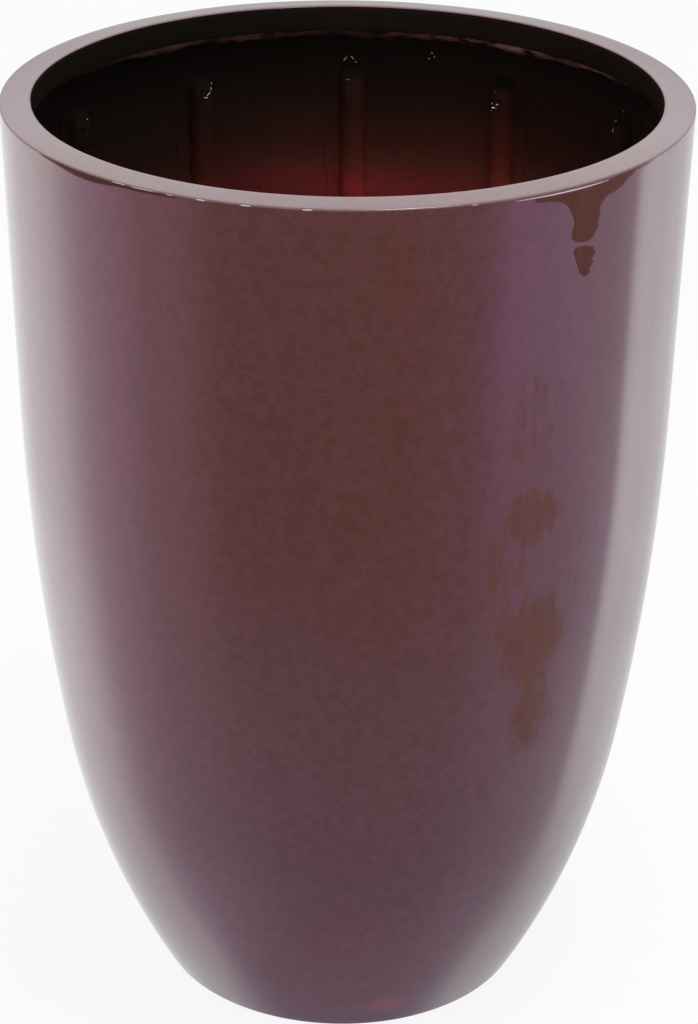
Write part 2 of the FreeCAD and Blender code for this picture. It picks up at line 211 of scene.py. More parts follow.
def turned(name, section_at, materials, steps=ROUND_STEPS, band_materials=None, sharp=40):
    """Turn a section round the axis. section_at gives its points, radius and height, at a bearing.

    The section runs counter-clockwise and closes on itself, or starts and ends on the axis.
    """
    bearings = [TURN * k / steps for k in range(steps)]
    sections = [section_at(bearing) for bearing in bearings]
    count = len(sections[0])
    solid = sections[0][0][0] < 1e-9
    verts, faces, bands = [], [], []
    rows = range(1, count - 1) if solid else range(count)
    for bearing, section in zip(bearings, sections):
        c, s = math.cos(bearing), math.sin(bearing)
        verts += [(section[k][0] * c, section[k][0] * s, section[k][1]) for k in rows]
    size = len(rows)
    for k in range(steps):
        here, there = k * size, (k + 1) % steps * size
        for row in range(size if not solid else size - 1):
            after = (row + 1) % size
            faces.append((here + row, there + row, there + after, here + after))
            bands.append(row)
    if solid:
        poles = [len(verts), len(verts) + 1]
        verts += [(0, 0, sections[0][0][1]), (0, 0, sections[0][-1][1])]
        for k in range(steps):
            here, there = k * size, (k + 1) % steps * size
            faces.append((poles[0], there, here))
            faces.append((poles[1], here + size - 1, there + size - 1))
            bands += [0, 0]
    chosen = [band_materials[band] for band in bands] if band_materials else None
    return make_piece(name, verts, faces, materials, chosen, sharp)


def slab_faces(rows, columns):
    """Faces of a closed slab: a front grid, then a back grid of the same size, joined round the edge."""
    back = rows * columns
    faces = []
    for i in range(rows - 1):
        for j in range(columns - 1):
            a, b = i * columns + j, (i + 1) * columns + j
            faces.append((a, a + 1, b + 1, b))
            faces.append((back + a, back + b, back + b + 1, back + a + 1))
    rim = [(0, j) for j in range(columns)] + [(i, columns - 1) for i in range(1, rows)]
    rim += [(rows - 1, j) for j in range(columns - 2, -1, -1)] + [(i, 0) for i in range(rows - 2, 0, -1)]
    ring = [i * columns + j for i, j in rim]
    for a, b in zip(ring, ring[1:] + ring[:1]):
        faces.append((b, a, back + a, back + b))
    return faces


def ring_quads(first, rings, sides):
    """Corners of each quad between rings of points: two below, then the two above them, back to the first."""
    for ring in range(rings - 1):
        for side in range(sides):
            a = first + ring * sides + side
            b = first + ring * sides + (side + 1) % sides
            yield a, b, b + sides, a + sides


# Material helpers

class Nodes:
    """Short hand for adding and linking nodes of one tree."""

    def __init__(self, tree):
        self.tree = tree

    def join(self, socket, source):
        """Link a socket to another one, or give it a value."""
        if isinstance(source, bpy.types.NodeSocket):
            self.tree.links.new(source, socket)
        else:
            socket.default_value = source

    def feed(self, node, name, source):
        self.join(next(s for s in node.inputs if s.name == name and s.enabled), source)

    def add(self, kind, settings=None, **sockets):
        node = self.tree.nodes.new(kind)
        for name, setting in (settings or {}).items():
            setattr(node, name, setting)
        for name, source in sockets.items():
            self.feed(node, name.replace("_", " "), source)
        return node

    def math(self, operation, *terms, clamp=False):
        node = self.add("ShaderNodeMath", {"operation": operation, "use_clamp": clamp})
        for socket, term in zip(node.inputs, terms):
            self.join(socket, term)
        return node.outputs[0]

    def vector_math(self, operation, *terms):
        node = self.add("ShaderNodeVectorMath", {"operation": operation})
        for socket, term in zip(node.inputs, terms):
            self.join(socket, term)
        return node.outputs

    def part(self, vector, axis):
        """One coordinate of a vector."""
        return self.add("ShaderNodeSeparateXYZ", Vector=vector).outputs[axis]

    def noise(self, place, **sockets):
        return self.add("ShaderNodeTexNoise", Vector=place, **sockets).outputs["Fac"]

    def blend(self, factor, first, second):
        """A colour between two; each is a socket or three shares."""
        node = self.add("ShaderNodeMix", {"data_type": "RGBA"})
        self.join(node.inputs[0], factor)
        for socket, source in ((node.inputs[6], first), (node.inputs[7], second)):
            self.join(socket, (*source, 1) if isinstance(source, tuple) else source)
        return node.outputs[2]

    def mix(self, factor, first, second):
        """A shader between two."""
        node = self.add("ShaderNodeMixShader")
        for socket, source in zip(node.inputs, (factor, first, second)):
            self.join(socket, source)
        return node.outputs[0]

    def span(self, source, from_low, from_high, to_low=0.0, to_high=1.0):
        """A smooth step from one range to another."""
        node = self.add("ShaderNodeMapRange", {"interpolation_type": "SMOOTHSTEP"}, Value=source)
        names = ("From Min", "From Max", "To Min", "To Max")
        for name, number in zip(names, (from_low, from_high, to_low, to_high)):
            node.inputs[name].default_value = number
        return node.outputs["Result"]

    def ramp(self, source, stops):
        node = self.add("ShaderNodeValToRGB", Fac=source)
        elements = node.color_ramp.elements
        while len(elements) < len(stops):
            elements.new(0.5)
        for element, (position, colour) in zip(elements, stops):
            element.position, element.color = position, (*colour, 1)
        return node.outputs[0]


def new_group(name, inputs, outputs):
    """Start a shader node group. A socket is a name and a type, and an input has a value too."""
    group = bpy.data.node_groups.new(name, "ShaderNodeTree")
    for label, kind, default in inputs:
        socket = group.interface.new_socket(label, in_out="INPUT", socket_type=kind)
        socket.default_value = default
    for label, kind in outputs:
        group.interface.new_socket(label, in_out="OUTPUT", socket_type=kind)
    nodes = Nodes(group)
    return group, nodes, nodes.add("NodeGroupInput").outputs, nodes.add("NodeGroupOutput")


def make_sags_group():
    """Upright streaks and soft clouds, as a coat that ran a little before it set."""
    group, nodes, given, out = new_group(
        "Upright sags",
        [("Place", "NodeSocketVector", (0, 0, 0)), ("Streak Size", "NodeSocketFloat", 20.0)],
        [("Streaks", "NodeSocketFloat"), ("Clouds", "NodeSocketFloat")],
    )
    upright = nodes.vector_math("MULTIPLY", given["Place"], (1.0, 1.0, 0.12))[0]
    streaks = nodes.noise(upright, Scale=given["Streak Size"], Detail=4.0)
    clouds = nodes.noise(given["Place"], Scale=6.0, Detail=3.0, Distortion=0.6)
    nodes.feed(out, "Streaks", nodes.span(streaks, 0.3, 0.7))
    nodes.feed(out, "Clouds", nodes.span(clouds, 0.3, 0.7))
    return group


def make_specks_group():
    """Sparse small specks, such as dust caught in a wet coat, and inside the pot painted glints."""
    group, nodes, given, out = new_group(
        "Caught dust and painted glints",
        [("Place", "NodeSocketVector", (0, 0, 0)), ("Scale", "NodeSocketFloat", 120.0),
         ("Size", "NodeSocketFloat", 0.1)],
        [("Specks", "NodeSocketFloat")],
    )
    cells = nodes.add("ShaderNodeTexVoronoi", Vector=given["Place"], Scale=given["Scale"])
    rare = nodes.noise(given["Place"], Scale=40.0, Detail=1.0)
    close = nodes.math("LESS_THAN", cells.outputs["Distance"], given["Size"])
    shown = nodes.math("GREATER_THAN", rare, 0.62)
    nodes.feed(out, "Specks", nodes.math("MULTIPLY", close, shown))
    return group


def make_patch_group():
    """A soft patch round a place on the pot."""
    group, nodes, given, out = new_group(
        "Soft patch",
        [("Place", "NodeSocketVector", (0, 0, 0)), ("Centre", "NodeSocketVector", (0, 0, 0)),
         ("Reach", "NodeSocketVector", (0.1, 0.1, 0.1))],
        [("Patch", "NodeSocketFloat")],
    )
    away = nodes.vector_math("SUBTRACT", given["Place"], given["Centre"])[0]
    scaled = nodes.vector_math("DIVIDE", away, given["Reach"])[0]
    length = nodes.vector_math("LENGTH", scaled)["Value"]
    nodes.feed(out, "Patch", nodes.span(length, 0.2, 1.0, 1.0, 0.0))
    return group


def make_skin_group():
    """Height of an orange-peel skin with broader hand-laid waves under it."""
    group, nodes, given, out = new_group(
        "Orange peel",
        [("Place", "NodeSocketVector", (0, 0, 0)), ("Peel Scale", "NodeSocketFloat", 260.0),
         ("Wave Share", "NodeSocketFloat", 0.4)],
        [("Height", "NodeSocketFloat")],
    )
    peel = nodes.noise(given["Place"], Scale=given["Peel Scale"], Detail=2.0)
    waves = nodes.noise(given["Place"], Scale=24.0, Detail=2.0)
    broad = nodes.math("MULTIPLY", waves, given["Wave Share"])
    nodes.feed(out, "Height", nodes.math("ADD", peel, broad))
    return group


SAGS = make_sags_group()
SPECKS = make_specks_group()
PATCH = make_patch_group()
SKIN = make_skin_group()


def new_material(name):
    """Start a material: its nodes, its shader and the place on the pot."""
    material = bpy.data.materials.new(name)
    material.use_nodes = True
    nodes = Nodes(material.node_tree)
    shader = next(n for n in material.node_tree.nodes if n.type == "BSDF_PRINCIPLED")
    place = nodes.add("ShaderNodeTexCoord").outputs["Object"]
    return material, nodes, shader, place


def place_group(nodes, group, **sockets):
    return nodes.add("ShaderNodeGroup", {"node_tree": group}, **sockets).outputs


def bump(nodes, shader, height, strength, distance):
    node = nodes.add("ShaderNodeBump", Strength=strength, Distance=distance, Height=height)
    nodes.feed(shader, "Normal", node.outputs["Normal"])


def at_bearing(degrees, height):
    """A place on the wall's outer face, at degrees to the right of the front."""
    radius, _ = wall_at(height)
    angle = math.radians(degrees)
    return radius * math.sin(angle), -radius * math.cos(angle), height


def patch(nodes, place, degrees, height, half_width, half_height):
    """A soft patch on the pot."""
    reach = (half_width, half_width, half_height)
    return place_group(nodes, PATCH, Place=place, Centre=at_bearing(degrees, height), Reach=reach)["Patch"]


# Where the lacquer is worn thin and brown: degrees right of the front, height, half width, half height and
# how far it is worn
WORN_PLACES = [
    (31.8, 0.535, 0.052, 0.085, 0.5),
    (32.3, 0.464, 0.048, 0.040, 0.95),
    (34.2, 0.366, 0.048, 0.080, 1.0),
    (35.2, 0.302, 0.036, 0.062, 0.85),
    (27.5, 0.410, 0.044, 0.120, 0.66),
    (8.3, 0.517, 0.010, 0.020, 0.4),
    (7.5, 0.262, 0.022, 0.034, 0.42),
    (16.5, 0.371, 0.020, 0.024, 0.38),
    (26.5, 0.249, 0.012, 0.026, 0.4),
]
# The dulled area round them, a place with fine upright scratches and a rubbed red place at the foot
DULLED_PLACE = (31.5, 0.43, 0.075, 0.21)
SCRATCHED_PLACE = (41.5, 0.42, 0.026, 0.09)
RUBBED_PLACE = (13, 0.03, 0.026, 0.014)


def worn_share(nodes, place):
    """How far the lacquer is worn, from 0 to 1, broken up by upright blotches."""
    worn = None
    for *where, strength in WORN_PLACES:
        spot = nodes.math("MULTIPLY", patch(nodes, place, *where), strength)
        worn = spot if worn is None else nodes.math("MAXIMUM", worn, spot)
    upright = nodes.vector_math("MULTIPLY", place, (1.0, 1.0, 0.32))[0]
    blots = nodes.noise(upright, Scale=125.0, Detail=6.0, Roughness=0.74)
    broken = nodes.math("MULTIPLY", nodes.math("SUBTRACT", blots, 0.5), 2.0)
    thin = nodes.span(nodes.math("ADD", worn, broken), 0.15, 1.02)
    return nodes.math("MULTIPLY", thin, nodes.span(worn, 0.02, 0.35, 0.0, 0.85))


def make_lacquer():
    """High-gloss aubergine lacquer, mottled, and thin and brown in places."""
    material, nodes, shader, place = new_material("aubergine_lacquer")
    sags = place_group(nodes, SAGS, Place=place, Streak_Size=26.0)
    colour = nodes.blend(sags["Streaks"], (0.122, 0.0385, 0.038), (0.132, 0.042, 0.041))
    colour = nodes.blend(sags["Clouds"], colour, (0.127, 0.0415, 0.0435))
    mottle = nodes.noise(place, Scale=120.0, Detail=6.0, Roughness=0.72)
    colour = nodes.blend(nodes.span(mottle, 0.35, 0.65), colour, (0.106, 0.0325, 0.0235))
    thin = worn_share(nodes, place)
    brown = nodes.blend(nodes.span(mottle, 0.4, 0.62), (0.126, 0.045, 0.028), (0.138, 0.056, 0.027))
    colour = nodes.blend(thin, colour, brown)
    threads = nodes.vector_math("MULTIPLY", place, (1.0, 1.0, 0.05))[0]
    lines = nodes.span(nodes.noise(threads, Scale=620.0, Detail=1.0), 0.6, 0.68, 0.0, 0.8)
    scratches = nodes.math("MULTIPLY", lines, patch(nodes, place, *SCRATCHED_PLACE))
    colour = nodes.blend(scratches, colour, (0.06, 0.022, 0.024))
    colour = nodes.blend(patch(nodes, place, *RUBBED_PLACE), colour, (0.2, 0.045, 0.045))
    specks = place_group(nodes, SPECKS, Place=place, Scale=150.0, Size=0.07)
    colour = nodes.blend(specks["Specks"], colour, (0.16, 0.09, 0.09))
    nodes.feed(shader, "Base Color", colour)
    nodes.feed(shader, "Roughness", nodes.span(sags["Clouds"], 0.0, 1.0, 0.42, 0.5))
    dulled = nodes.math("MULTIPLY", patch(nodes, place, *DULLED_PLACE), 0.3)
    lost = nodes.math("MAXIMUM", dulled, nodes.math("MULTIPLY", thin, 0.95))
    nodes.feed(shader, "Coat Weight", nodes.math("SUBTRACT", 1.0, lost))
    nodes.feed(shader, "Coat Roughness", 0.02)
    nodes.feed(shader, "Coat IOR", 1.5)
    nodes.feed(shader, "Specular IOR Level", 0.1)
    skin = place_group(nodes, SKIN, Place=place, Peel_Scale=320.0, Wave_Share=0.5)
    bump(nodes, shader, skin["Height"], 0.09, 0.0004)
    return material


# Inside paint with painted shade under the rim and a painted glow lower down: its colour under the rim, then
# shares of the way down with red, green and blue there
PAINT_DEPTH = 200 * MM
SHADED_PAINT_TOP = (0.2, (0.0165, 0.0103, 0.0088))
PAINT_AND_GLOW_STOPS = [
    (0.4, 0.029, 0.0135, 0.0098),
    (0.56, 0.068, 0.021, 0.0145),
    (0.64, 0.12, 0.032, 0.022),
    (0.745, 0.26, 0.038, 0.039),
    (1.0, 0.31, 0.04, 0.043),
]


def make_inside_paint_and_light(name, painted_glow):
    """Dark paint over the hand-laid inside, near black under the rim as painted shade and deep red lower
    down, brightened as a painted glow.
    """
    material, nodes, shader, place = new_material(name)
    height = nodes.part(place, "Z")
    sags = place_group(nodes, SAGS, Place=place, Streak_Size=34.0)
    drift = nodes.math("MULTIPLY", nodes.math("SUBTRACT", sags["Clouds"], 0.5), 0.016)
    drop = nodes.math("ADD", nodes.math("SUBTRACT", RIM_EDGE, height), drift)
    depth = nodes.math("DIVIDE", drop, PAINT_DEPTH, clamp=True)
    # Painted glow: painted_glow raises the red of the deeper stops, so that lower down the paint looks lit by
    # light falling into the pot.
    deeper = [(share, (painted_glow * red, green, blue)) for share, red, green, blue in PAINT_AND_GLOW_STOPS]
    colour = nodes.ramp(depth, [SHADED_PAINT_TOP] + deeper)
    # Painted shade: the inside is darkened towards the left, and darker upright streaks are mixed in.
    left = nodes.span(nodes.part(place, "X"), -0.14, 0.06, 0.72, 0.0)
    shade = nodes.math("MAXIMUM", left, nodes.math("MULTIPLY", sags["Streaks"], 0.2))
    colour = nodes.blend(shade, colour, (0.0085, 0.0072, 0.006))
    # Painted shade: faces turned up near the rib heads are darkened, so that they show less of the light from
    # above.
    facing_up = nodes.part(nodes.add("ShaderNodeNewGeometry").outputs["Normal"], "Z")
    head = nodes.math("MULTIPLY", nodes.span(facing_up, 0.1, 0.6), nodes.span(height, 0.58, 0.6))
    colour = nodes.blend(head, colour, (0.0088, 0.0056, 0.0048))
    # Painted glints: pale specks on the inside paint stand for sparkles of light.
    specks = place_group(nodes, SPECKS, Place=place, Scale=170.0, Size=0.07)
    colour = nodes.blend(specks["Specks"], colour, (0.1, 0.07, 0.07))
    nodes.feed(shader, "Base Color", colour)
    nodes.feed(shader, "Roughness", nodes.span(sags["Streaks"], 0.0, 1.0, 0.42, 0.58))
    nodes.feed(shader, "Coat Weight", nodes.span(depth, 0.35, 0.75, 0.0, 0.3))
    nodes.feed(shader, "Coat Roughness", 0.16)
    nodes.feed(shader, "IOR", 1.04)
    skin = place_group(nodes, SKIN, Place=place, Peel_Scale=130.0, Wave_Share=1.2)
    strands = nodes.noise(place, Scale=70.0, Detail=6.0, Distortion=2.5)
    relief = nodes.math("ADD", skin["Height"], nodes.math("MULTIPLY", strands, 0.8))
    bump(nodes, shader, relief, 0.35, 0.0012)
    return material


def make_bead_paint_and_light():
    """Thin patchy red paint on the bead under the rim, with pale pink patches as painted light, strongest on
    the right.
    """
    material, nodes, shader, place = new_material("bead_paint_and_painted_light")
    # Painted light: pale pink patches brightest at the right back and weaker at the left back, broken up by
    # blotches.
    right_painted_light = patch(nodes, place, 141, SKIRT_FOOT, 0.17, 0.2)
    left_painted_light = patch(nodes, place, -150, SKIRT_FOOT, 0.13, 0.2)
    blots = nodes.noise(place, Scale=55.0, Detail=5.0, Roughness=0.6)
    share = nodes.math("ADD", nodes.math("MULTIPLY", left_painted_light, 0.35), 0.14)
    share = nodes.math("MAXIMUM", right_painted_light, share)
    painted_light_patches = nodes.math("MULTIPLY", nodes.span(blots, 0.36, 0.62), share)
    nodes.feed(shader, "Base Color", nodes.blend(painted_light_patches, (0.05, 0.022, 0.022), (0.85, 0.52, 0.55)))
    nodes.feed(shader, "Roughness", nodes.span(blots, 0.3, 0.7, 0.3, 0.5))
    nodes.feed(shader, "Coat Weight", 0.4)
    nodes.feed(shader, "Coat Roughness", 0.12)
    skin = place_group(nodes, SKIN, Place=place, Peel_Scale=180.0, Wave_Share=1.0)
    bump(nodes, shader, skin["Height"], 0.3, 0.001)
    return material


def make_glint_resin():
    """Pale resin for small raised chips and nicks, its whiteness a painted glint."""
    material, nodes, shader, place = new_material("pale_resin_painted_glints")
    grain = nodes.noise(place, Scale=420.0, Detail=3.0)
    nodes.feed(shader, "Base Color", nodes.blend(grain, (0.5, 0.44, 0.44), (0.9, 0.87, 0.87)))
    nodes.feed(shader, "Roughness", nodes.span(grain, 0.3, 0.7, 0.2, 0.4))
    bump(nodes, shader, grain, 0.2, 0.0003)
    return material


def make_run_lacquer():
    """Brown lacquer of the runs under the rim, duller than the coat round it and darker on the left."""
    material, nodes, shader, place = new_material("run_lacquer")
    sags = place_group(nodes, SAGS, Place=place, Streak_Size=90.0)
    colour = nodes.blend(sags["Streaks"], (0.100, 0.036, 0.027), (0.122, 0.043, 0.032))
    left = nodes.span(nodes.part(place, "X"), -0.05, -0.12)
    nodes.feed(shader, "Base Color", nodes.blend(left, colour, (0.078, 0.028, 0.025)))
    nodes.feed(shader, "Roughness", nodes.span(sags["Clouds"], 0.0, 1.0, 0.35, 0.5))
    nodes.feed(shader, "Specular IOR Level", 0.05)
    skin = place_group(nodes, SKIN, Place=place, Peel_Scale=400.0, Wave_Share=0.3)
    bump(nodes, shader, skin["Height"], 0.1, 0.0004)
    return material


def make_raw_wood(name, light, dark):
    """Raw softwood with fine upright grain."""
    material, nodes, shader, place = new_material(name)
    sags = place_group(nodes, SAGS, Place=place, Streak_Size=160.0)
    nodes.feed(shader, "Base Color", nodes.blend(sags["Streaks"], light, dark))
    nodes.feed(shader, "Roughness", nodes.span(sags["Clouds"], 0.0, 1.0, 0.6, 0.75))
    bump(nodes, shader, sags["Streaks"], 0.2, 0.0005)
    return material


def make_rubber():
    """Matt black rubber with dust pressed into it."""
    material, nodes, shader, place = new_material("pad_rubber")
    specks = place_group(nodes, SPECKS, Place=place, Scale=420.0, Size=0.2)
    grain = nodes.noise(place, Scale=900.0, Detail=2.0)
    colour = nodes.blend(grain, (0.014, 0.014, 0.015), (0.03, 0.03, 0.031))
    nodes.feed(shader, "Base Color", nodes.blend(specks["Specks"], colour, (0.12, 0.11, 0.1)))
    nodes.feed(shader, "Roughness", nodes.span(grain, 0.3, 0.7, 0.75, 0.9))
    bump(nodes, shader, grain, 0.15, 0.0003)
    return material


LACQUER = make_lacquer()
RUN = make_run_lacquer()
INSIDE = make_inside_paint_and_light("inside_paint_and_painted_light", 1.0)
# The ribs' copy is a lit copy: its deeper red is raised by 1.45 as painted light on ribs that stand out into
# the lamp's light.
RIB_PAINT_PAINTED_LIT = make_inside_paint_and_light("rib_paint_painted_lit", 1.45)
BEAD_PAINT_AND_LIGHT = make_bead_paint_and_light()
PALE_GLINT = make_glint_resin()
BATTEN = make_raw_wood("raw_batten", (0.36, 0.21, 0.10), (0.27, 0.14, 0.06))
HOOP = make_raw_wood("raw_hoop", (0.42, 0.27, 0.13), (0.33, 0.19, 0.08))
RUBBER = make_rubber()


# Pieces of the pot

def outside_wave(bearing, height):
    """How far the outer face lies in from the true form, as a hand-laid mould leaves it."""
    deepest, lump_size = 0.25 * MM, 160 * MM
    place = (0.24 * math.cos(bearing), 0.24 * math.sin(bearing), height)
    fade = ease(SEAT, SEAT - 0.06, height) * ease(0.02, 0.08, height)
    return -deepest * fade * (0.5 + 0.5 * ripple(place, lump_size, 3.1))


def inside_wave(bearing, height):
    """How far the inner face lies back from the true form, between strands and resin."""
    deepest, lump_size, strand_size = 0.5 * MM, 30 * MM, 11 * MM
    place = (0.23 * math.cos(bearing), 0.23 * math.sin(bearing), height)
    lumps = 0.65 * ripple(place, lump_size, 5.7) + 0.35 * ripple(place, strand_size, 8.3)
    return deepest * (0.5 + 0.5 * lumps)


def make_pot_wall():
    """The laminated wall, lacquered outside and painted inside, with the standing ring at its base."""
    foot_start = BASE + 8 * MM
    outer = [(wall_at(z)[0], z) for z in np.linspace(SEAT, foot_start, 110)]
    ring_edge = BASE_RADIUS - RING_WIDTH
    foot = round_corner(outer[-1], (BASE_RADIUS, BASE), (ring_edge, BASE), BASE_EDGE_ROUND, 8)
    ring = round_corner((BASE_RADIUS, BASE), (ring_edge, BASE), (ring_edge, DISC_FOOT), RING_EDGE_ROUND, 3)
    ring += round_corner((ring_edge, BASE), (ring_edge, DISC_FOOT), (BASE_RADIUS, DISC_FOOT),
                         RING_EDGE_ROUND, 3)
    inner = [(wall_at(z, WALL)[0], z) for z in np.linspace(DISC_FOOT, SEAT, 150)]
    section = outer + foot + ring + inner
    outer_rows, inner_start = len(outer), len(outer) + len(foot) + len(ring)

    def section_at(bearing):
        points = [(r + outside_wave(bearing, z), z) for r, z in section[:outer_rows]]
        points += section[outer_rows:inner_start]
        points += [(r + inside_wave(bearing, z), z) for r, z in section[inner_start:]]
        return points[::-1]

    last = len(section) - 1
    bands = [1 if last - band > inner_start else 0 for band in range(len(section))]
    piece = turned("pot_wall", section_at, [LACQUER, INSIDE], band_materials=bands)
    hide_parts("outer_shell")


def make_rim_ring():
    """The flat-topped rim with its skirt, lacquered on top and painted inside."""
    edge = (RIM_RADIUS - RIM_SHY, RIM_EDGE)
    lip = (MOUTH, OVERALL_HEIGHT)
    toe = (MOUTH, SKIRT_FOOT)
    heel = (MOUTH + SKIRT, SKIRT_FOOT)
    nook = (MOUTH + SKIRT, SEAT)
    seat = (wall_at(SEAT)[0], SEAT)
    outer = round_corner(seat, edge, lip, RIM_EDGE_ROUND, 8)
    inner = round_corner(edge, lip, toe, MOUTH_EDGE_ROUND, 10)
    top = [tuple(np.array(outer[-1]) * (1 - t) + np.array(inner[0]) * t) for t in (0.25, 0.5, 0.75)]
    skirt = [(MOUTH, z) for z in np.linspace(inner[-1][1], SKIRT_FOOT + SKIRT_EDGE_ROUND, 5)[1:-1]]
    foot = round_corner(lip, toe, heel, SKIRT_EDGE_ROUND, 4)
    section = [seat] + outer + top + inner + skirt + foot + [heel, nook]
    painted_from = 1 + len(outer) + len(top) + len(inner) // 2

    def section_at(bearing):
        points = []
        for radius, z in section:
            place = (radius * math.cos(bearing), radius * math.sin(bearing), z)
            sag = 0.12 * MM * (ripple(place, 0.05, 2.2) - 1) * ease(SEAT, RIM_EDGE, z)
            points.append((radius, z + sag))
        return points

    bands = [1 if painted_from <= band < len(section) - 2 else 0 for band in range(len(section))]
    piece = turned("rim_ring", section_at, [LACQUER, INSIDE], band_materials=bands)
    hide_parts("rim_cap")


def make_rim_bead():
    """The hand-laid bead under the rim, thick and thin by turns."""
    face_steps = 9
    back = [(wall_at(z, WALL)[0] + BEAD_TUCK, z) for z in (SKIRT_FOOT, RIM_BEAD_FOOT)]
    start = np.array([MOUTH + BEAD_SETBACK, SKIRT_FOOT])

    def section_at(bearing):
        place = (math.cos(bearing), math.sin(bearing), 0.0)
        rise = 5 * MM * (0.5 + 0.5 * ripple(place, 0.11, 1.3)) + 2 * MM * ripple(place, 0.03, 4.1)
        foot_height = RIM_BEAD_FOOT + max(rise, 0.0)
        foot = np.array([wall_at(foot_height, WALL)[0] - BEAD_FEATHER, foot_height])
        along = foot - start
        across = np.array([along[1], -along[0]]) / np.linalg.norm(along)
        points = []
        for k in range(face_steps):
            t = k / (face_steps - 1)
            spot = start + along * t
            swell = math.sin(math.pi * t) * (1.2 * MM * ripple((*place[:2], 2 * t), 0.05, 7.7) - 0.8 * MM)
            points.append(tuple(spot - across * swell))
        points += [(back[1][0], foot_height), back[0]]
        return points

    piece = turned("rim_bead", section_at, [BEAD_PAINT_AND_LIGHT], sharp=60)
    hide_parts("rim_cove")


def make_floor_disc():
    """The floor of the pot, with resin that pooled a little unevenly."""
    edge_fall = 0.6 * MM
    radii = np.linspace(0, DISC_EDGE - edge_fall, 36)

    def section_at(bearing):
        under = [(0.0, DISC_FOOT), (DISC_EDGE, DISC_FOOT), (DISC_EDGE, DISC_TOP - edge_fall)]
        top = []
        for radius in radii[::-1]:
            place = (radius * math.cos(bearing), radius * math.sin(bearing), 0.0)
            dip = 0.35 * MM * (0.5 + 0.5 * ripple(place, 0.028, 6.5))
            top.append((radius, DISC_TOP - dip))
        return under + top

    piece = turned("floor_disc", section_at, [INSIDE], steps=192)
    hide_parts("base_disc")


def make_floor_bead():
    """The fillet that seals the floor to the wall."""
    face_steps = 14
    deepest = 4.6 * MM
    bedding = DISC_TOP - 0.5 * MM
    lap = np.array([DISC_EDGE - BEAD_LAP, DISC_TOP])
    head = np.array([wall_at(FLOOR_BEAD_HEAD, WALL)[0] - BEAD_FEATHER, FLOOR_BEAD_HEAD])
    chord = head - lap
    across = np.array([chord[1], -chord[0]]) / np.linalg.norm(chord)
    behind = [(wall_at(z, WALL)[0] + BEAD_TUCK, z) for z in np.linspace(FLOOR_BEAD_HEAD, DISC_FOOT, 5)]
    under = [(DISC_EDGE, DISC_FOOT), (DISC_EDGE, bedding), (lap[0], bedding)]

    def section_at(bearing):
        place = (0.14 * math.cos(bearing), 0.14 * math.sin(bearing))
        points = []
        for k in range(face_steps):
            t = k / (face_steps - 1)
            hollow = deepest * 4 * t * (1 - t)
            lump = 0.8 * MM * math.sin(math.pi * t) * ripple((*place, 0.05 * t), 0.022, 9.1)
            points.append(tuple(lap + chord * t + across * (hollow - lump)))
        return (points + behind + under)[::-1]

    piece = turned("floor_bead", section_at, [INSIDE], steps=240, sharp=60)
    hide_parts("base_cove")


def rib_bearing(number):
    return RIB_START + (number - 1) * TURN / RIB_COUNT


def tape_half(number, height, side):
    """Half width of the tape on one side of the rib, a little uneven."""
    wander = ripple((height, 0.1 * side, 0), 40 * MM, 11.0 * number)
    return TAPE_HALF * (TAPE_MEAN + TAPE_WANDER * wander)


def tape_lift(number, offset, height):
    """How far the tape's face stands off the wall, at an offset across the rib."""
    seed = 11.0 * number
    fullness = 2.3     # of the rib's section: 2 is round and more is squarer
    side = 1 if offset > 0 else -1
    outward = abs(offset) / tape_half(number, height, side)
    past_end = max(height - CORE_HEAD, CORE_FOOT - height)
    fall = min(max((past_end + RIB_END_EASE) / RIB_END_RUN, 0.0), 1.0)
    crest = RIB_HALF * math.sqrt(1 - fall ** 2)
    hump = crest * max(1 - abs(offset / RIB_HALF) ** fullness, 0.0) ** (1 / fullness)
    tip = ease(0.0, 12 * MM, min(TAPE_HEAD - height, height - TAPE_FOOT))
    flange = -0.6 * MM + 1.2 * MM * ease(1.0, 0.45, outward) * tip
    rough = 1 + 2.0 * ease(-30 * MM, 0.0, past_end)
    lump = 0.28 * MM * rough * ripple((offset, 0.0, height), 12 * MM, seed)
    lump += 0.2 * MM * ripple((offset, 0.0, 0.35 * height), 5 * MM, seed + 2)
    lump *= ease(1.0, 0.8, outward) * tip
    lift = soften_max(hump, flange, 2.5 * MM) + max(lump, -0.25 * MM)
    return min(lift, RIB_HALF + 0.2 * MM)


def make_rib_tape(number):
    """Glass tape laid over a batten by hand: a half-round rib with feathered flanges."""
    bearing = rib_bearing(number)
    rows, columns = 170, 41
    front, back = [], []
    for i in range(rows):
        height = TAPE_HEAD + (TAPE_FOOT - TAPE_HEAD) * i / (rows - 1)
        radius, _ = wall_at(height, WALL)
        for j in range(columns):
            u = 2 * j / (columns - 1) - 1
            offset = u * tape_half(number, height, 1 if u > 0 else -1)
            angle = bearing + offset / radius
            front.append(on_wall(angle, height, tape_lift(number, offset, height)))
            back.append(on_wall(angle, height, -TAPE_BURY))
    faces = slab_faces(rows, columns)
    across = [abs(2 * (face[0] % columns) / (columns - 1) - 1) for face in faces]
    on_rib = [int(u * TAPE_HALF * TAPE_MEAN < RIB_HALF) for u in across]
    # The rib's hump takes the lit copy of the inside paint, brighter red as painted light.
    piece = make_piece(f"tape_{number:02d}", front + back, faces, [INSIDE, RIB_PAINT_PAINTED_LIT], on_rib, 70)
    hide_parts(f"rib_tape_{number:02d}")


